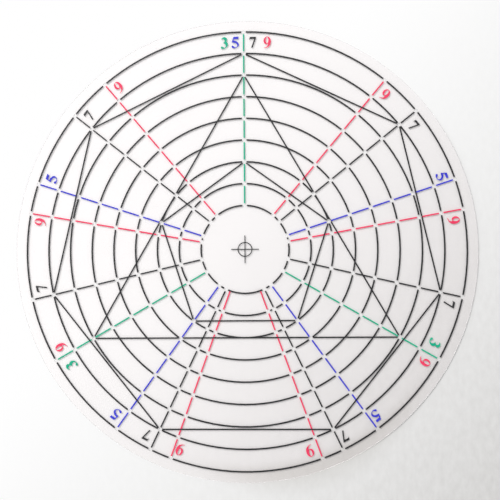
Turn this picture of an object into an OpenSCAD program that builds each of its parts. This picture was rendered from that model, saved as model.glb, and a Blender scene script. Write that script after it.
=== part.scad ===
// Decorating disk: a clear plastic sheet for dividing round work into equal parts.
// Rings, spokes and plain shapes are printed on its top face, and a small hole for a marking
// point goes through it wherever a spoke crosses a ring.
// The sheet lies on the XY plane, and +Y points along the spoke that all divisions share.

/* [Sheet] */
// Thickness of the clear sheet
sheet_t = 0.8; // [0.5:0.05:3]
// Width of the clear rim outside the last ring
rim_w = 6.35; // [4:0.05:20]
// Bevel on both edges of the rim
rim_bevel = 0.1; // [0.05:0.01:0.2]

/* [Rings] */
// Radius of the first ring
first_ring_r = 25.4; // [22:0.1:40]
// Distance from one ring to the next
ring_step = 12.7; // [8:0.1:20]
// Number of rings
ring_count = 9; // [8:1:12]
// Width of a printed ring
ring_line = 0.9; // [0.4:0.05:1.2]

/* [Divisions] */
// Number of green spokes, which divide the work into the fewest parts
green_parts = 3; // [3, 4]
// Number of blue spokes
blue_parts = 5; // [5, 6]
// Number of black spokes
black_parts = 7; // [7, 8]
// Number of red spokes
red_parts = 9; // [9, 10]
// Width of a printed spoke
spoke_line = 0.8; // [0.4:0.05:1.2]

/* [Shapes] */
// Ring that carries the corners of the shape for the green division, a triangle for 3
green_shape_ring = 7; // [1:1:8]
// Ring that carries the corners of the shape for the blue division, a pentagon for 5
blue_shape_ring = 3; // [1:1:8]
// Ring that carries the corners of the shape for the black division, a heptagon for 7
black_shape_ring = 8; // [1:1:8]
// Width of a printed shape's line
shape_line = 0.8; // [0.4:0.05:1.2]

/* [Marking holes] */
// Diameter of a marking hole
hole_d = 1.6; // [0.8:0.1:2.2]
// Border round a hole that the print leaves clear
hole_border = 0.5; // [0.2:0.05:0.6]
// Least distance between the centres of two holes: a nearer one is left out
hole_pitch = 3; // [2.8:0.1:5]

/* [Print] */
// Thickness of the printed ink
ink_t = 0.1; // [0.05:0.01:0.3]

/* [Centre mark] */
// Radius of the small ring round the centre
mark_r = 4; // [2.5:0.1:8]
// Length of each arm of the cross, from the centre outwards
mark_arm = 8; // [4:0.1:16]
// Width of the centre mark's lines
mark_line = 0.5; // [0.3:0.05:0.8]

/* [Hidden] */
// Direction of the first spoke of every division, which is +Y
top_angle = 90;
// Extra length that takes a cut clear of the faces it goes through
overcut = 1;
// Facets of a drawn circle, for a large and for a small one
large_fn = 180;
small_fn = 32;
ring_radii = [for (i = [0 : ring_count - 1]) first_ring_r + i * ring_step];
last_ring_r = ring_radii[ring_count - 1];
sheet_r = last_ring_r + rim_w;
clear_d = hole_d + 2 * hole_border;
GREEN = 0;
BLUE = 1;
BLACK = 2;
RED = 3;
parts = [green_parts, blue_parts, black_parts, red_parts];
// Numbers of the divisions that come before one, which own the spokes and holes they share
function earlier(division) = [for (d = [0 : 1 : division - 1]) d];
function spoke_angle(count, k) = top_angle + k * 360 / count;
// Angle between two directions, from 0 to 180
function between(a, b) = abs((a - b + 540) % 360 - 180);
function is_shared(division, k) =
    len([for (d = earlier(division), m = [0 : parts[d] - 1])
        if (m * parts[division] == k * parts[d]) m]) > 0;
function own_angles(division) =
    [for (k = [0 : parts[division] - 1])
        if (!is_shared(division, k)) spoke_angle(parts[division], k)];
// A hole is crowded when one of an earlier division is too near to it on the same ring
function is_crowded(division, angle, r) =
    len([for (d = earlier(division), other = own_angles(d))
        if (2 * r * sin(between(angle, other) / 2) < hole_pitch) other]) > 0;
// Each hole as [ring radius, angle]
holes = [for (division = [GREEN : RED], angle = own_angles(division), r = ring_radii)
    if (!is_crowded(division, angle, r)) [r, angle]];

// Puts its children at the centre of every marking hole
module at_holes() {
    for (h = holes)
        rotate(h[1]) translate([h[0], 0]) children();
}

// A line along +X from one distance to another, turned to an angle
module line_at(angle, from, to, width) {
    rotate(angle) translate([from, -width / 2]) square([to - from, width]);
}

module ring(r, width) {
    difference() {
        circle(r + width / 2, $fn = large_fn);
        circle(r - width / 2, $fn = large_fn);
    }
}

// The spokes that one division owns, from the first ring to the last
module spokes(division) {
    for (angle = own_angles(division))
        line_at(angle, first_ring_r, last_ring_r, spoke_line);
}

// The outline of a regular shape, a side at a time, with its corners on a ring
module shape_lines(count, r) {
    half_side = r * sin(180 / count);
    for (k = [0 : count - 1])
        rotate(spoke_angle(count, k + 0.5))
            translate([r * cos(180 / count), 0])
                line_at(90, -half_side, half_side, shape_line);
}

module centre_mark() {
    ring(mark_r, mark_line);
    for (angle = [0 : 90 : 270])
        line_at(angle, 0, mark_arm, mark_line);
}

// All that is drawn in black, before the holes' borders are left clear
module black_lines() {
    for (r = ring_radii)
        ring(r, ring_line);
    spokes(BLACK);
    shape_lines(green_parts, ring_radii[green_shape_ring - 1]);
    shape_lines(blue_parts, ring_radii[blue_shape_ring - 1]);
    shape_lines(black_parts, ring_radii[black_shape_ring - 1]);
    centre_mark();
}

module clear_borders() {
    at_holes() circle(d = clear_d, $fn = small_fn);
}

// Flat ink on the sheet's top face
module ink() {
    translate([0, 0, sheet_t]) linear_extrude(ink_t) children();
}

// The spokes of one colour, which stop at the black lines and at the spokes of an earlier division
module coloured_ink(division) {
    ink() difference() {
        spokes(division);
        black_lines();
        for (d = earlier(division)) spokes(d);
        clear_borders();
    }
}

module disk() {
    color([0.9, 0.93, 0.95, 0.4]) difference() {
        rotate_extrude($fn = large_fn) polygon([
            [0, 0],
            [sheet_r - rim_bevel, 0],
            [sheet_r, rim_bevel],
            [sheet_r, sheet_t - rim_bevel],
            [sheet_r - rim_bevel, sheet_t],
            [0, sheet_t]
        ]);
        at_holes()
            translate([0, 0, -overcut])
                cylinder(h = sheet_t + 2 * overcut, d = hole_d, $fn = small_fn);
    }
}

module black_print() {
    color([0.08, 0.08, 0.09]) ink() difference() {
        black_lines();
        clear_borders();
    }
}

module green_print() {
    color([0, 0.68, 0.52]) coloured_ink(GREEN);
}

module blue_print() {
    color([0.25, 0.25, 0.85]) coloured_ink(BLUE);
}

module red_print() {
    color([0.92, 0.2, 0.32]) coloured_ink(RED);
}

disk();
black_print();
green_print();
blue_print();
red_print();
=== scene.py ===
# Looks of a decorating disk: its clear sheet, printed inks and numerals, and the table that it lies on

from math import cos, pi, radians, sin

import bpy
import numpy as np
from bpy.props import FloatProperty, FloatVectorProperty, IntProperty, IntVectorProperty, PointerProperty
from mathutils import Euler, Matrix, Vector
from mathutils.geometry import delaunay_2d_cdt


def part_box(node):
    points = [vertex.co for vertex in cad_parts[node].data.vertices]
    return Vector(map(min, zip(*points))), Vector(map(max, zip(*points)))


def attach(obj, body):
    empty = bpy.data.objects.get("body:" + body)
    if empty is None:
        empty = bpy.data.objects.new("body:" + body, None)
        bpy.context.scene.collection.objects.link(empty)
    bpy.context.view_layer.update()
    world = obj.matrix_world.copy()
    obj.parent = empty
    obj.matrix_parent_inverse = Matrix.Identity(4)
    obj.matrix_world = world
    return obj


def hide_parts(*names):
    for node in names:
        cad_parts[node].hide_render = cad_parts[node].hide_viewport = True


bl_info = {
    "name": "Decorating Disk",
    "version": (1, 0, 0),
    "blender": (4, 5, 0),
    "location": "3D View > Sidebar > Disk",
    "description": "Builds the clear sheet, inks, numerals and stage of a printed decorating disk",
    "category": "Add Mesh",
}

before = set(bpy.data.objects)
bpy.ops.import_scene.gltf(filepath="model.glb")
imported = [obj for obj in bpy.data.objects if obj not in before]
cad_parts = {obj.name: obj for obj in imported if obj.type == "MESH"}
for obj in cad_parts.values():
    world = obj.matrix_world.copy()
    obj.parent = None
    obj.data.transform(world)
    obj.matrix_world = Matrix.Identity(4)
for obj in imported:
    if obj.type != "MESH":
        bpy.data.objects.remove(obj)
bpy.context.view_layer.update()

MM = 0.001
sheet_low, sheet_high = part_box("disk")
SHEET_TOP = sheet_high.z
SHEET_RADIUS = min(sheet_high.x, sheet_high.y, -sheet_low.x, -sheet_low.y)
INK_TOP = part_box("black_print")[1].z
# Direction of the spoke that all the divisions share, which is +Y
TOP_ANGLE = pi / 2
# Nearly all of a noise texture lies between these values
NOISE_SPAN = (0.3, 0.7)

# Outline of each numeral, and of the eye inside it, in hundredths of its height. x is from its
# middle and y from its foot, and True marks a corner, where the curve through the points breaks.
OUTLINES = {
    3: [[
        (-29, 82, True), (-21, 94, False), (-2, 103, False), (18, 95, False), (24.5, 82, False),
        (21, 71.5, False), (12.5, 65, True), (25, 55, False), (31.5, 37, False), (25, 18, False),
        (12, 4, False), (-9, -3.5, False), (-27, -1.5, False), (-33, 8, False), (-27, 17, False),
        (-15, 14.5, False), (-5, 7, False), (4.5, 6.5, False), (11, 17, False), (9.5, 33, False),
        (0, 45, False), (-12, 50, True), (-2, 59, False), (3, 68, False), (2, 76, False),
        (-5, 83.5, False), (-15, 86, False),
    ]],
    5: [[
        (-15.5, 101.5, True), (32, 101.5, True), (27, 80.5, True), (-12, 80.5, True), (-16, 66, True),
        (-2, 64.5, False), (14, 58, False), (29, 44, False), (33, 30, False), (27, 15, False),
        (13, 3, False), (-7, -2.5, False), (-26, 1, False), (-33, 10, False), (-27, 20, False),
        (-17, 17.5, False), (-6, 7.5, False), (6, 6, False), (17, 15.5, False), (18, 29, False),
        (7, 42, False), (-12, 48.5, False), (-31, 50, True),
    ]],
    7: [[
        (-26, 97.5, True), (30, 97.5, True), (29.5, 92, True), (-2.5, 0, True), (-15, 0, True),
        (14, 80, True), (-13, 80, False), (-25, 77.5, False), (-31, 71, True), (-33, 73, True),
    ]],
    9: [[
        (0, 104.5, False), (-20, 96, False), (-32, 75, False), (-30, 52, False), (-17, 38, False),
        (0, 36, False), (6, 39, True), (4, 23, False), (-9, 9.5, False), (-29, 2, True), (-29, -1, True),
        (-13, 1.5, False), (5, 8.5, False), (22, 22, False), (31, 44, False), (32.5, 66, False),
        (26, 88, False), (15, 100, False),
    ], [
        (-2, 100.5, False), (-11, 90, False), (-15, 72, False), (-12, 53, False), (-1, 41.5, False),
        (8, 56, False), (11, 74, False), (7.5, 91, False),
    ]],
}
# Ink of each division, by the number of its parts
INKS = {3: "green", 5: "blue", 7: "black", 9: "red"}
# How far each numeral's middle stands from its spoke in millimetres, for each spoke of a division
# from the top one round counter-clockwise. A numeral on the clockwise side has a minus.
BESIDE = {
    3: [11.2, 6.7, 6.7],
    5: [4.9, -5.2, -5.2, 3.9, 4.0],
    7: [-5.4, -5.4, -5.5, -5.5, 4.0, -5.5, -5.8],
    9: [-13.8, -5.4, 4.0, -5.4, 3.3, -5.4, -5.3, -5.4, -5.5],
}
# How much further out the numerals beside the shared spoke stand, in millimetres
TOP_OUT = {3: 0.3, 5: 0.5, 7: 0.5, 9: 0.1}


class SheetSettings(bpy.types.PropertyGroup):
    """Sizes and finish of the clear sheet"""
    radius: FloatProperty(
        name="Radius", description="Radius of the sheet", default=SHEET_RADIUS,
        min=0.05, max=0.5, unit="LENGTH", precision=5)
    thickness: FloatProperty(
        name="Thickness", description="Thickness of the sheet", default=SHEET_TOP,
        min=0.0005, max=0.01, unit="LENGTH", precision=5)
    rim_bevel: FloatProperty(
        name="Rim Bevel", description="Radius that softens both edges of the rim", default=0.02 * MM,
        min=0.01 * MM, max=0.4 * MM, unit="LENGTH", precision=5)
    hole_diameter: FloatProperty(
        name="Hole Diameter", description="Diameter of a marking hole", default=1.6 * MM,
        min=0.5 * MM, max=2.2 * MM, unit="LENGTH", precision=5)
    hole_bevel: FloatProperty(
        name="Hole Bevel", description="Width of the small bevel at both ends of a hole",
        default=0.05 * MM, min=0.01 * MM, max=0.2 * MM, unit="LENGTH", precision=5)
    tint: FloatVectorProperty(
        name="Tint", description="Colour that light takes on as it crosses the sheet",
        default=(0.985, 0.967, 0.967), min=0, max=1, subtype="COLOR")
    lamp_tint: FloatVectorProperty(
        name="Lamp Tint", description="Share of the lamps' light that one face of the sheet lets by",
        default=(0.985, 0.98, 0.98), min=0, max=1, subtype="COLOR")
    edge_tint: FloatProperty(
        name="Edge Tint", default=0.12, min=0, max=1, subtype="FACTOR",
        description="Share of the lamps' light that leaves by the rim, which shades the table beside it")
    edge_turn: FloatProperty(
        name="Edge Turn", description="Side on which the rim is shaded, counter-clockwise from +X",
        default=radians(-12), min=radians(-180), max=radians(180), subtype="ANGLE")
    roughness: FloatProperty(
        name="Roughness", description="Roughness of the sheet where it is cleanest", default=0.015,
        min=0, max=1, subtype="FACTOR")
    handling: FloatProperty(
        name="Handling Marks", description="Roughness that smudges and rubbing add", default=0.05,
        min=0, max=1, subtype="FACTOR")
    frost: FloatProperty(
        name="Frost", description="Roughness of the rim and of the holes' sides, where the sheet was cut",
        default=0.45, min=0, max=1, subtype="FACTOR")


class LayoutSettings(bpy.types.PropertyGroup):
    """Places of the rings, the spokes and the marking holes"""
    first_ring: FloatProperty(
        name="First Ring", description="Radius of the first ring", default=25.4 * MM,
        min=0.01, max=0.1, unit="LENGTH", precision=5)
    ring_step: FloatProperty(
        name="Ring Step", description="Distance from one ring to the next", default=12.7 * MM,
        min=0.005, max=0.03, unit="LENGTH", precision=5)
    ring_count: IntProperty(name="Rings", description="Number of rings", default=9, min=1, max=20)
    divisions: IntVectorProperty(
        name="Divisions", default=tuple(INKS), size=4, min=2, max=24,
        description="Number of equal parts of each division, which share their first spoke")
    hole_pitch: FloatProperty(
        name="Hole Pitch", description="Least distance between two holes, where a nearer one is left out",
        default=3 * MM, min=2 * MM, max=6 * MM, unit="LENGTH", precision=5)


class InkSettings(bpy.types.PropertyGroup):
    """Colours of the inks, and the size and place of the numerals"""
    black: FloatVectorProperty(
        name="Black", description="Colour of the rings, shapes and sevenths", subtype="COLOR",
        default=(0.012, 0.012, 0.014), min=0, max=1)
    green: FloatVectorProperty(
        name="Green", description="Colour of the thirds", subtype="COLOR",
        default=(0.0, 0.42, 0.24), min=0, max=1)
    blue: FloatVectorProperty(
        name="Blue", description="Colour of the fifths", subtype="COLOR",
        default=(0.035, 0.038, 0.6), min=0, max=1)
    red: FloatVectorProperty(
        name="Red", description="Colour of the ninths", subtype="COLOR",
        default=(0.86, 0.045, 0.125), min=0, max=1)
    roughness: FloatProperty(
        name="Roughness", description="Roughness of the dried ink", default=0.42,
        min=0, max=1, subtype="FACTOR")
    numeral_height: FloatProperty(
        name="Numeral Height", description="Height of a numeral", default=6.45 * MM,
        min=0.002, max=0.01, unit="LENGTH", precision=5)
    numeral_gap: FloatProperty(
        name="Numeral Gap", description="Distance from the last ring but one to a numeral's foot",
        default=2.9 * MM, min=0.001, max=0.006, unit="LENGTH", precision=5)


class StageSettings(bpy.types.PropertyGroup):
    """The table, the light and the camera"""
    # Painted shade: the table darkens towards the lower right in place of light falling off across it
    table_light: FloatVectorProperty(
        name="Table Light", description="Colour of the table where it is lightest, at the upper left",
        default=(1.0, 1.0, 1.0), min=0, max=1, subtype="COLOR")
    table_shade_colour: FloatVectorProperty(
        name="Table Dark", description="Colour of the table where it is darkest, at the lower right",
        default=(0.648, 0.64, 0.63), min=0, max=1, subtype="COLOR")
    fade_from: FloatProperty(
        name="Fade From", description="Where the table starts to darken, on the way to the lower right",
        default=-0.05, min=-1, max=1, unit="LENGTH")
    fade_to: FloatProperty(
        name="Fade To", description="Where the table is darkest, on the way to the lower right",
        default=0.21, min=-1, max=2, unit="LENGTH")
    fade_end: FloatProperty(
        name="Fade End", description="Distance from the middle at which the table is pale again all round",
        default=0.9, min=0.3, max=2, unit="LENGTH")
    fade_turn: FloatProperty(
        name="Fade Turn", description="Direction in which the table darkens, counter-clockwise from +X",
        default=radians(-43), min=radians(-180), max=radians(180), subtype="ANGLE")
    # Painted shadow: under the sheet's edge on one side the table's colour is multiplied by this share
    shade: FloatVectorProperty(
        name="Shade", description="Share of the table's colour in the soft shade under the sheet's edge",
        default=(0.845, 0.835, 0.815), min=0, max=1, subtype="COLOR")
    shade_turn: FloatProperty(
        name="Shade Turn", description="Direction of the soft shade, counter-clockwise from +X",
        default=radians(-70), min=radians(-180), max=radians(180), subtype="ANGLE")
    sky_strength: FloatProperty(
        name="Sky Strength", description="Share of the light that comes evenly from all round",
        default=0.6, min=0, max=1, subtype="FACTOR")
    sheen: FloatVectorProperty(
        name="Sheen", default=(0.2, 2.1), size=2, min=0, max=4,
        description="Brightness mirrored from overhead, at the lower right and the upper left")
    sheen_turn: FloatProperty(
        name="Sheen Turn", default=radians(150), min=0, max=radians(360), subtype="ANGLE",
        description="Direction of the brightest mirrored light, counter-clockwise from +X")
    lamp_height: FloatProperty(
        name="Lamp Height", description="Angle of the lamp above the table", default=radians(50),
        min=radians(5), max=radians(90), subtype="ANGLE")
    lamp_turn: FloatProperty(
        name="Lamp Turn", description="Direction of the lamp, counter-clockwise from +X",
        default=radians(130), min=0, max=radians(360), subtype="ANGLE")
    lamp_width: FloatProperty(
        name="Lamp Width", description="Angle that the lamp takes up, which softens shadows",
        default=radians(36), min=0, max=radians(90), subtype="ANGLE")
    camera_place: FloatVectorProperty(
        name="Camera Place", subtype="TRANSLATION", unit="LENGTH", precision=5,
        description="Where the camera is from the middle of the print, to its own right, up and back",
        default=(2.911 * MM, -0.396 * MM, 455 * MM))
    camera_tilt: FloatVectorProperty(
        name="Camera Tilt", description="How the camera is turned from looking straight down",
        default=(radians(2.43), radians(2.26), radians(-0.403)), subtype="EULER", unit="ROTATION")
    field_of_view: FloatProperty(
        name="Field of View", description="Angle across the camera's picture",
        default=radians(35.17), min=radians(5), max=radians(120), subtype="ANGLE")


class DiskSettings(bpy.types.PropertyGroup):
    """All the settings of the disk"""
    sheet: PointerProperty(name="Sheet", description="The clear sheet", type=SheetSettings)
    layout: PointerProperty(name="Layout", description="The rings, spokes and holes", type=LayoutSettings)
    ink: PointerProperty(name="Ink", description="The inks and numerals", type=InkSettings)
    stage: PointerProperty(name="Stage", description="The table, light and camera", type=StageSettings)


# Meshes


def new_piece(name, points, walls, flats):
    """A mesh object at the origin, with its place in its mesh. walls holds four-sided faces that are
    shaded smooth, except across edges over 40 degrees, and flats three-sided faces that are shaded flat."""
    mesh = bpy.data.meshes.new(name)
    mesh.from_pydata(points.tolist(), [], walls.tolist() + flats.tolist())
    mesh.set_sharp_from_angle(angle=radians(40))
    mesh.polygons.foreach_set("use_smooth", np.repeat([True, False], [len(walls), len(flats)]))
    mesh.update()
    piece = bpy.data.objects.new(name, mesh)
    bpy.context.scene.collection.objects.link(piece)
    return piece


def turned(centres, profile, steps):
    """Points of a profile of (radius, height) turned about each centre (x, y), as an array of
    (centre, step round, place on the profile, xyz). A point is its centre plus its radius times
    (cosine, sine) of the turn, at its own height."""
    turn = np.arange(steps) * 2 * pi / steps
    ring = np.stack([np.cos(turn), np.sin(turn)], -1)
    plan = centres[:, None, None] + ring[:, None] * profile[:, :1]
    height = np.broadcast_to(profile[:, 1:], plan.shape[:3] + (1,))
    return np.concatenate([plan, height], -1)


def numbered(points, start=0):
    """Point numbers from start on, as an array of (centre, step round, place on the profile)."""
    return start + np.arange(points[..., 0].size).reshape(points.shape[:3])


def wall_faces(grid):
    """Four-sided faces between neighbours in a grid of point numbers (centre, step round, place on
    the profile). They face away from the centre where the profile goes up."""
    after = np.roll(grid, -1, axis=1)
    corners = [grid[..., :-1], after[..., :-1], after[..., 1:], grid[..., 1:]]
    return np.stack(corners, -1).reshape(-1, 4)


def rim_profile(radius, thickness, bevel, steps=4):
    """The sheet's edge as (radius, height), from its underside up: a quarter circle of the bevel's
    radius, the upright, and the same quarter circle upside down."""
    turn = np.linspace(0, pi / 2, steps + 1)
    lower = np.stack([radius - bevel + bevel * np.sin(turn), bevel - bevel * np.cos(turn)], 1)
    upper = lower[::-1] * [1, -1] + [0, thickness]
    return np.concatenate([lower, upper])


def hole_profile(radius, thickness, bevel):
    """The side of a marking hole as (radius, height), from the underside up, with a bevel at each end."""
    return np.array([
        (radius + bevel, 0),
        (radius, bevel),
        (radius, thickness - bevel),
        (radius + bevel, thickness),
    ])


def filled(plan, loops):
    """Triangles of point numbers that fill the hull of points (x, y) in a plane, with every side of the
    closed loops kept as an edge. They are counter-clockwise. Delaunay's rule picks them: no point lies
    inside the circle through another three, unless a kept edge is between."""
    sides = np.concatenate([np.stack([loop, np.roll(loop, -1)], 1) for loop in loops])
    everything, nearness = 0, 1e-7
    out = delaunay_2d_cdt((plan / MM).tolist(), sides.tolist(), [], everything, nearness)
    first_source = np.array([source[0] for source in out[3]])
    return first_source[np.array(out[2])]


def marking_holes(layout):
    """Centres of the marking holes, one where each spoke crosses each ring. A spoke that two divisions
    share counts once, and a hole that is crowded by an earlier division's is left out."""
    rings = layout.first_ring + layout.ring_step * np.arange(layout.ring_count)
    same_spoke = radians(0.01)
    spokes, centres = np.zeros(0), []
    for parts in layout.divisions:
        own = TOP_ANGLE + 2 * pi * np.arange(parts) / parts
        apart = np.abs((own[:, None] - spokes + pi) % (2 * pi) - pi)
        shared = (apart < same_spoke).any(1)
        own, apart = own[~shared], apart[~shared]
        nearest = apart.min(1) if spokes.size else np.full(len(own), pi)
        chord = 2 * rings * np.sin(nearest[:, None] / 2)
        angle, ring = np.broadcast_arrays(own[:, None], rings)
        free = chord >= layout.hole_pitch
        centres.append(np.stack([ring * np.cos(angle), ring * np.sin(angle)], -1)[free])
        spokes = np.concatenate([spokes, own])
    return np.concatenate(centres)


def pierced_sheet(sheet, holes, rim_steps=512, hole_steps=36):
    """Points, walls and flats of the sheet. Its rim and the holes' sides are turned profiles, and its two
    faces fill what is between them."""
    rim = turned(np.zeros((1, 2)), rim_profile(sheet.radius, sheet.thickness, sheet.rim_bevel), rim_steps)
    sides = turned(
        holes, hole_profile(sheet.hole_diameter / 2, sheet.thickness, sheet.hole_bevel), hole_steps)
    rim_grid = numbered(rim)
    side_grid = numbered(sides, rim_grid.size)
    points = np.concatenate([rim.reshape(-1, 3), sides.reshape(-1, 3)])
    walls = np.concatenate([wall_faces(rim_grid), wall_faces(side_grid)[:, ::-1]])
    under = np.concatenate([rim_grid[0, :, 0], side_grid[..., 0].ravel()])
    over = np.concatenate([rim_grid[0, :, -1], side_grid[..., -1].ravel()])
    # The loop that each point of a face is on: 0 for the rim, and then one for each hole
    owner = np.repeat(np.arange(len(holes) + 1), [rim_steps] + [hole_steps] * len(holes))
    loops = np.split(np.arange(len(owner)), np.flatnonzero(np.diff(owner)) + 1)
    triangles = filled(points[over, :2], loops)
    around = owner[triangles]
    in_a_hole = (around == around[:, :1]).all(1) & (around[:, 0] > 0)
    triangles = triangles[~in_a_hole]
    flats = np.concatenate([over[triangles], under[triangles][:, ::-1]])
    return points, walls, flats


def smooth_outline(corners, steps=8):
    """A closed curve through the corners (x, y, is a corner), counter-clockwise: on each side a cubic
    whose ends lean along the line between their neighbours, weighted by the sides' lengths, or along the
    side at a corner."""
    here = np.array(corners, float)[:, :2]
    sharp = np.array(corners)[:, 2] > 0
    there, before, beyond = np.roll(here, -1, 0), np.roll(here, 1, 0), np.roll(here, -2, 0)
    side = there - here
    length = np.linalg.norm(side, axis=1, keepdims=True)
    length_before = np.linalg.norm(here - before, axis=1, keepdims=True)
    length_beyond = np.linalg.norm(beyond - there, axis=1, keepdims=True)
    lean_here = np.where(sharp[:, None], side, (there - before) * length / (length + length_before))
    lean_there = np.where(
        np.roll(sharp, -1)[:, None], side, (beyond - here) * length / (length + length_beyond))
    t = np.linspace(0, 1, steps, endpoint=False)[:, None]
    curve = (
        (2 * t**3 - 3 * t**2 + 1) * here[:, None]
        + (t**3 - 2 * t**2 + t) * lean_here[:, None]
        + (3 * t**2 - 2 * t**3) * there[:, None]
        + (t**3 - t**2) * lean_there[:, None]
    )
    points = curve.reshape(-1, 2)
    x, y = points.T
    clockwise = (x * np.roll(y, -1) - y * np.roll(x, -1)).sum() < 0
    return points[::-1] if clockwise else points


def numeral_field(number):
    """Points and triangles of a flat numeral, at a height of 1: its outline filled, less the eye in it."""
    loops = [smooth_outline(loop) / 100 for loop in OUTLINES[number]]
    ends = np.cumsum([0] + [len(loop) for loop in loops])
    fields = [list(range(a, b)) for a, b in zip(ends, ends[1:])]
    inside_only, nearness = 1, 1e-6
    out = delaunay_2d_cdt(np.concatenate(loops).tolist(), [], fields, inside_only, nearness)
    in_outline_only = [source == [0] for source in out[5]]
    return np.array(out[0]), np.array(out[2])[in_outline_only]


def raised(plan, triangles, low, high):
    """Points, walls and flats of the solid between a flat field at one height and the same field at
    another. The walls stand on the sides that belong to a single triangle."""
    count = len(plan)
    (ax, ay), (bx, by) = plan[triangles[0, 1:]] - plan[triangles[0, 0]]
    if ax * by < ay * bx:
        triangles = triangles[:, ::-1]
    sides = triangles[:, [0, 1, 1, 2, 2, 0]].reshape(-1, 2)
    alone = ~np.isin(sides @ [count, 1], sides @ [1, count])
    a, b = sides[alone].T
    walls = np.stack([a, b, b + count, a + count], 1)
    flats = np.concatenate([triangles[:, ::-1], triangles + count])
    points = np.concatenate([
        np.column_stack([plan, np.full(count, low)]),
        np.column_stack([plan, np.full(count, high)]),
    ])
    return points, walls, flats


def beside_spokes(number, numeral, foot):
    """A numeral's (points, walls, flats), copied to each spoke of its division. A point goes out along the
    spoke by the foot's distance and its own y, and to the spoke's counter-clockwise side by the numeral's
    place less its own x. Its height stays."""
    points, walls, flats = numeral
    turn = (TOP_ANGLE + 2 * pi * np.arange(number) / number)[:, None]
    further = np.array([TOP_OUT[number]] + [0] * (number - 1))[:, None] * MM
    out = foot + points[:, 1] + further
    beside = np.array(BESIDE[number])[:, None] * MM - points[:, 0]
    places = np.stack([
        out * np.cos(turn) - beside * np.sin(turn),
        out * np.sin(turn) + beside * np.cos(turn),
        np.broadcast_to(points[:, 2], beside.shape),
    ], -1)
    start = (np.arange(number) * len(points))[:, None, None]
    return places.reshape(-1, 3), (walls + start).reshape(-1, 4), (flats + start).reshape(-1, 3)


# Materials


def add(tree, kind, inputs=None, **options):
    """A new shader node. inputs maps a socket's name or number to its value or the output that feeds it."""
    node = tree.nodes.new(kind)
    for name, value in options.items():
        setattr(node, name, value)
    for key, value in (inputs or {}).items():
        if isinstance(value, bpy.types.NodeSocket):
            tree.links.new(value, node.inputs[key])
        else:
            node.inputs[key].default_value = value
    return node


def new_material(name):
    """A material with an empty node tree, and the tree."""
    material = bpy.data.materials.new(name)
    material.use_nodes = True
    material.node_tree.nodes.clear()
    return material, material.node_tree


def end_with(tree, surface):
    """The tree's output, fed by a surface shader."""
    add(tree, "ShaderNodeOutputMaterial", {"Surface": surface})


def maths(tree, operation, first, second=0.0, **options):
    """The output of one step of arithmetic on two numbers or outputs."""
    step = add(tree, "ShaderNodeMath", {0: first, 1: second}, operation=operation, **options)
    return step.outputs["Value"]


def own_place(tree):
    """The place on the object, in its own coordinates."""
    return add(tree, "ShaderNodeTexCoord").outputs["Object"]


def level(turn, length=1.0):
    """The vector of a length that lies level, turned counter-clockwise from +X."""
    return (length * cos(turn), length * sin(turn), 0)


def distance_towards(tree, place, turn):
    """How far a place is in the level direction that is turned counter-clockwise from +X."""
    product = add(tree, "ShaderNodeVectorMath", {0: place, 1: level(turn)}, operation="DOT_PRODUCT")
    return product.outputs["Value"]


def noise(tree, scale, detail=2.0, stretch=(1, 1, 1), turn=0.0):
    """Noise on the object's own coordinates, with about scale blobs to a metre, stretched and turned."""
    mapping = add(tree, "ShaderNodeMapping", {
        "Vector": own_place(tree), "Rotation": (0, 0, turn), "Scale": stretch,
    })
    texture = add(
        tree, "ShaderNodeTexNoise",
        {"Vector": mapping.outputs["Vector"], "Scale": scale, "Detail": detail})
    return texture.outputs["Fac"]


def ranged(tree, value, low, high, to_low, to_high, smooth=False):
    """value carried from one range to another, and held inside it."""
    kind = "SMOOTHSTEP" if smooth else "LINEAR"
    return add(tree, "ShaderNodeMapRange", {
        "Value": value, "From Min": low, "From Max": high, "To Min": to_low, "To Max": to_high,
    }, interpolation_type=kind).outputs["Result"]


def mixed_colour(tree, share, first, second):
    """A colour that goes from the first to the second as share goes from 0 to 1. Either one may be an
    output. The Mix node keeps its colours on inputs 6 and 7 and its result on output 2."""
    ends = [end if isinstance(end, bpy.types.NodeSocket) else (*end, 1) for end in (first, second)]
    return add(tree, "ShaderNodeMix", {0: share, 6: ends[0], 7: ends[1]}, data_type="RGBA").outputs[2]


def either(tree, first, second):
    """1 where the first or the second output is 1."""
    return maths(tree, "MAXIMUM", first, second)


def on_cut_side(tree):
    """1 on the sides and bevels of the rim and of the holes, and 0 on the flat faces."""
    normal = add(tree, "ShaderNodeNewGeometry").outputs["True Normal"]
    upward = add(tree, "ShaderNodeSeparateXYZ", {0: normal}).outputs["Z"]
    nearly_level = 0.99
    return maths(tree, "LESS_THAN", maths(tree, "ABSOLUTE", upward), nearly_level)


def shaded_rim(tree, sheet):
    """1 on the upright edge of the sheet and on its bevels, where they are met from outside on the shaded
    side, and 0 on the rest. Between two shares of the radius towards that side it goes from 0 to 1."""
    side_from, side_to = 0.58, 0.85
    past_bevel = 1.1
    place = own_place(tree)
    flat = add(tree, "ShaderNodeVectorMath", {0: place, 1: (1, 1, 0)}, operation="MULTIPLY")
    reach = add(tree, "ShaderNodeVectorMath", {0: flat.outputs["Vector"]}, operation="LENGTH")
    flat_radius = sheet.radius - past_bevel * sheet.rim_bevel
    rim = maths(tree, "GREATER_THAN", reach.outputs["Value"], flat_radius)
    inside = add(tree, "ShaderNodeNewGeometry").outputs["Backfacing"]
    outside = maths(tree, "SUBTRACT", rim, inside, use_clamp=True)
    side = ranged(
        tree, distance_towards(tree, place, sheet.edge_turn),
        side_from * sheet.radius, side_to * sheet.radius, 0, 1, smooth=True)
    return maths(tree, "MULTIPLY", outside, side)


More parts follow.
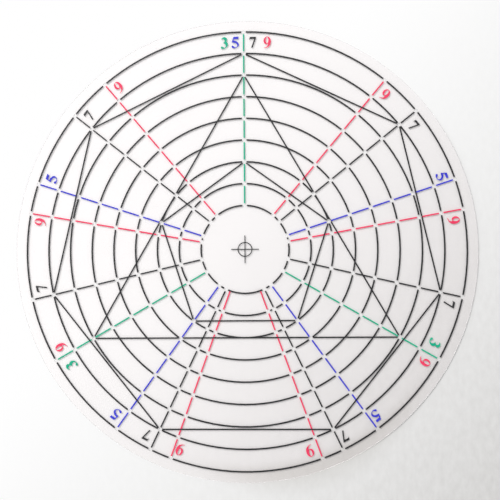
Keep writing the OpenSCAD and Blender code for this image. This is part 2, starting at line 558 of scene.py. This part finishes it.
def clear_plastic(sheet):
    """Clear plastic with smudges, fine scratches and a slight wave. Lamps and light that bounces off the
    table go straight through its faces. Its rim holds back what would leave by it, and so casts a thin
    shadow on the side away from the lamp."""
    smudge_from, smudge_to = 0.45, 0.75
    scratch_from, scratch_to = 0.66, 0.7
    scratch_turns, scratch_stretch = (17, 68, 141), (1, 60, 1)
    wave_depth, scratch_depth = 0.12 * MM, 0.004 * MM
    smudged_tint = [0.99 * c for c in sheet.tint]
    material, tree = new_material("clear_plastic")
    smudges = ranged(tree, noise(tree, scale=30, detail=4), smudge_from, smudge_to, 0, 1, smooth=True)
    scratches = [
        ranged(tree, noise(tree, 25, 3, scratch_stretch, radians(turn)), scratch_from, scratch_to, 0, 1)
        for turn in scratch_turns
    ]
    marks = either(tree, either(tree, scratches[0], scratches[1]), scratches[2])
    wave = add(tree, "ShaderNodeBump", {
        "Strength": 1.0, "Distance": wave_depth, "Height": noise(tree, scale=14, detail=1),
    })
    scored = add(tree, "ShaderNodeBump", {
        "Strength": 0.25, "Distance": scratch_depth, "Height": marks, "Normal": wave.outputs["Normal"],
    }, invert=True)
    faces = ranged(tree, smudges, 0, 1, sheet.roughness, sheet.roughness + sheet.handling)
    roughness = ranged(tree, on_cut_side(tree), 0, 1, faces, sheet.frost)
    glass = add(tree, "ShaderNodeBsdfPrincipled", {
        "Base Color": mixed_colour(tree, smudges, sheet.tint, smudged_tint),
        "Roughness": roughness,
        "IOR": 1.49,
        "Transmission Weight": 1.0,
        "Normal": scored.outputs["Normal"],
    })
    edge = (sheet.edge_tint,) * 3
    through = add(tree, "ShaderNodeBsdfTransparent", {
        "Color": mixed_colour(tree, shaded_rim(tree, sheet), sheet.lamp_tint, edge),
    })
    path = add(tree, "ShaderNodeLightPath")
    passing = either(tree, path.outputs["Is Shadow Ray"], path.outputs["Is Diffuse Ray"])
    surface = add(tree, "ShaderNodeMixShader", {
        "Fac": passing, 1: glass.outputs["BSDF"], 2: through.outputs["BSDF"],
    })
    end_with(tree, surface.outputs["Shader"])
    return material


def ink(name, colour, roughness):
    """Dried printing ink: its colour is a little thinner in small clouds, and its face has a fine grain."""
    cloud_from, cloud_to = 0.35, 0.65
    grain_depth, unevenness = 0.01 * MM, 0.06
    thin_base, thin_gain = 0.02, 1.08
    thin = [min(1, thin_base + thin_gain * c) for c in colour]
    material, tree = new_material(name)
    clouds = ranged(tree, noise(tree, scale=260, detail=3), cloud_from, cloud_to, 0, 1)
    grain = noise(tree, scale=6000, detail=2)
    bump = add(tree, "ShaderNodeBump", {"Strength": 0.3, "Distance": grain_depth, "Height": grain})
    surface = add(tree, "ShaderNodeBsdfPrincipled", {
        "Base Color": mixed_colour(tree, clouds, colour, thin),
        "Roughness": ranged(tree, grain, *NOISE_SPAN, roughness - unevenness, roughness + unevenness),
        "Specular IOR Level": 0.2,
        "Normal": bump.outputs["Normal"],
    })
    end_with(tree, surface.outputs["BSDF"])
    return material


def painted_table_shade(tree, stage, place, reach):
    """How much painted shade the table has at a place, from 0 to 1, in place of light that falls off to one
    side.
    It darkens in one direction, slowly at first, and is pale again well past the sheet. The grain makes it
    uneven where it is darker."""
    slow_start, unevenness = 1.4, 0.11
    onward = distance_towards(tree, place, stage.fade_turn)
    fade = maths(tree, "POWER", ranged(tree, onward, stage.fade_from, stage.fade_to, 0, 1), slow_start)
    fibres = noise(tree, scale=330, detail=4, stretch=(1, 0.5, 1))
    grain = ranged(tree, fibres, *NOISE_SPAN, 1 - unevenness, 1 + unevenness)
    near = ranged(tree, reach, stage.fade_to, stage.fade_end, 1, 0, smooth=True)
    return maths(tree, "MULTIPLY", maths(tree, "MULTIPLY", fade, grain), near)


def painted_edge_shade(tree, stage, place, reach):
    """Where the painted shadow under the sheet's edge lies, from 0 to 1: inside a soft circle that reaches
    past the edge on one side, and not further in than a soft ring along the edge. It stands in for a cast
    shadow."""
    circle_offset = 0.06
    circle_from, circle_to = 0.069, 0.088
    ring_from, ring_to = 0.12, 0.13
    centre = level(stage.shade_turn, circle_offset)
    from_centre = add(tree, "ShaderNodeVectorMath", {0: place, 1: centre}, operation="DISTANCE")
    near_edge = ranged(tree, reach, ring_from, ring_to, 0, 1, smooth=True)
    return ranged(tree, from_centre.outputs["Value"], circle_from, circle_to, near_edge, 0, smooth=True)


def table_top(stage):
    """A pale, dull table, with painted shade that darkens it to one side and a painted shadow under the
    sheet's edge.
    """
    material, tree = new_material("table_top")
    place = own_place(tree)
    reach = add(tree, "ShaderNodeVectorMath", {0: place}, operation="LENGTH").outputs["Value"]
    # Painted shade of light falling off, mixed into the table's colour
    painted_falloff = painted_table_shade(tree, stage, place, reach)
    falloff_colour = mixed_colour(tree, painted_falloff, stage.table_light, stage.table_shade_colour)
    # Painted shadow under the sheet's edge, in place of one cast there
    shaded = add(tree, "ShaderNodeVectorMath", {0: falloff_colour, 1: tuple(stage.shade)}, operation="MULTIPLY")
    shade = painted_edge_shade(tree, stage, place, reach)
    surface = add(tree, "ShaderNodeBsdfPrincipled", {
        "Base Color": mixed_colour(tree, shade, falloff_colour, shaded.outputs["Vector"]),
        "Roughness": 0.9,
        "Specular IOR Level": 0.0,
    })
    end_with(tree, surface.outputs["BSDF"])
    return material


def ink_material(settings, colour_name):
    """The material of one ink, made when it is first asked for."""
    name = colour_name + "_ink"
    return bpy.data.materials.get(name + "_finish") or ink(
        name + "_finish", tuple(getattr(settings, colour_name)), settings.roughness)


# Operators


class MakeSheet(bpy.types.Operator):
    """Builds the clear sheet with its soft rim and its marking holes"""
    bl_idname = "disk.make_sheet"
    bl_label = "Clear Sheet"

    def execute(self, context):
        sheet, layout = context.scene.disk.sheet, context.scene.disk.layout
        piece = new_piece("clear_sheet", *pierced_sheet(sheet, marking_holes(layout)))
        piece.data.materials.append(clear_plastic(sheet))
        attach(piece, "root")
        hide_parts("disk")
        return {"FINISHED"}


class InkPrint(bpy.types.Operator):
    """Gives the printed rings, shapes and spokes their inks"""
    bl_idname = "disk.ink_print"
    bl_label = "Printed Lines"

    def execute(self, context):
        for colour in INKS.values():
            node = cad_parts[colour + "_print"]
            node.material_slots[0].material = ink_material(context.scene.disk.ink, colour)
        return {"FINISHED"}


class MakeNumerals(bpy.types.Operator):
    """Builds the numerals that name each spoke's division, one piece for each ink"""
    bl_idname = "disk.make_numerals"
    bl_label = "Numerals"

    def execute(self, context):
        settings, layout = context.scene.disk.ink, context.scene.disk.layout
        foot = layout.first_ring + layout.ring_step * (layout.ring_count - 2) + settings.numeral_gap
        for number, colour in INKS.items():
            field, triangles = numeral_field(number)
            numeral = raised(field * settings.numeral_height, triangles, SHEET_TOP, INK_TOP)
            piece = new_piece("numerals_" + colour, *beside_spokes(number, numeral, foot))
            piece.data.materials.append(ink_material(settings, colour))
            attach(piece, "root")
        return {"FINISHED"}


class MakeStage(bpy.types.Operator):
    """Builds the pale table, the soft light and the camera"""
    bl_idname = "disk.make_stage"
    bl_label = "Stage"

    def execute(self, context):
        stage = context.scene.disk.stage
        self.make_table(stage)
        self.make_sky(context.scene, stage)
        self.make_lamp(context.scene, stage)
        self.make_camera(context.scene, stage)
        context.scene.view_settings.view_transform = "Standard"
        return {"FINISHED"}

    def make_table(self, stage):
        """A round table top just under the sheet, as rings round a small hub."""
        reach, hub, gap = 3.0, 0.01, 0.02 * MM
        rings, steps = 12, 96
        profile = np.stack([np.linspace(reach, hub, rings), np.full(rings, -gap)], 1)
        points = turned(np.zeros((1, 2)), profile, steps)
        grid = numbered(points)
        round_hub = grid[0, :, -1]
        middle = grid.size
        cap = np.stack([round_hub, np.roll(round_hub, -1), np.full(steps, middle)], 1)
        points = np.concatenate([points.reshape(-1, 3), [[0, 0, -gap]]])
        table = new_piece("table", points, wall_faces(grid), cap)
        table.data.materials.append(table_top(stage))

    def make_sky(self, scene, stage):
        """Even light from all round. The camera and what glass lets by see it plain white. What is
        mirrored from overhead is brighter towards one side, as from a wide window."""
        window_edge = 0.3
        overhead_from, overhead_to = 0.6, 0.9
        world = bpy.data.worlds.new("studio")
        world.use_nodes = True
        tree = world.node_tree
        tree.nodes.clear()
        path = add(tree, "ShaderNodeLightPath")
        seen = either(tree, path.outputs["Is Camera Ray"], path.outputs["Is Transmission Ray"])
        plain = ranged(tree, seen, 0, 1, stage.sky_strength, 1)
        direction = add(tree, "ShaderNodeTexCoord").outputs["Generated"]
        sideways = distance_towards(tree, direction, stage.sheen_turn)
        window = ranged(tree, sideways, -window_edge, window_edge, *stage.sheen)
        upward = add(tree, "ShaderNodeSeparateXYZ", {0: direction}).outputs["Z"]
        mirrored = ranged(tree, upward, overhead_from, overhead_to, 1, window, smooth=True)
        strength = ranged(tree, path.outputs["Is Glossy Ray"], 0, 1, plain, mirrored)
        sky = add(tree, "ShaderNodeBackground", {"Color": (1, 1, 1, 1), "Strength": strength})
        add(tree, "ShaderNodeOutputWorld", {"Surface": sky.outputs["Background"]})
        scene.world = world

    def make_lamp(self, scene, stage):
        """A wide soft lamp that brings a white table up to white, with the sky's share taken off."""
        lamp = bpy.data.lights.new("soft_lamp", "SUN")
        lamp.angle = stage.lamp_width
        lamp.energy = pi * (1 - stage.sky_strength) / sin(stage.lamp_height)
        holder = bpy.data.objects.new("soft_lamp", lamp)
        towards = Vector(level(stage.lamp_turn, cos(stage.lamp_height)))
        towards.z = sin(stage.lamp_height)
        holder.rotation_euler = towards.to_track_quat("Z", "Y").to_euler()
        scene.collection.objects.link(holder)

    def make_camera(self, scene, stage):
        """A camera over the print, a little off its middle and nearly straight down."""
        data = bpy.data.cameras.new("camera")
        data.angle = stage.field_of_view
        camera = bpy.data.objects.new("camera", data)
        tilt = Euler(stage.camera_tilt)
        camera.rotation_euler = tilt
        camera.location = Vector((0, 0, INK_TOP)) + tilt.to_matrix() @ Vector(stage.camera_place)
        scene.collection.objects.link(camera)
        scene.camera = camera


class DiskPanel(bpy.types.Panel):
    """The disk's settings, and a button for each of its pieces"""
    bl_idname = "VIEW3D_PT_decorating_disk"
    bl_label = "Decorating Disk"
    bl_space_type = "VIEW_3D"
    bl_region_type = "UI"
    bl_category = "Disk"

    def draw(self, context):
        settings = context.scene.disk
        for group_name in ("sheet", "layout", "ink", "stage"):
            group = getattr(settings, group_name)
            box = self.layout.box()
            box.label(text=group_name.title())
            for name in group.__annotations__:
                box.prop(group, name)
        for operator in OPERATORS:
            self.layout.operator(operator.bl_idname)


OPERATORS = (MakeStage, MakeSheet, InkPrint, MakeNumerals)
CLASSES = (SheetSettings, LayoutSettings, InkSettings, StageSettings, DiskSettings, *OPERATORS, DiskPanel)


def register():
    for each in CLASSES:
        bpy.utils.register_class(each)
    bpy.types.Scene.disk = PointerProperty(type=DiskSettings)


def unregister():
    del bpy.types.Scene.disk
    for each in reversed(CLASSES):
        bpy.utils.unregister_class(each)


def main():
    register()
    bpy.ops.disk.make_stage()
    bpy.ops.disk.make_sheet()
    bpy.ops.disk.ink_print()
    bpy.ops.disk.make_numerals()


if __name__ == "__main__":
    main()
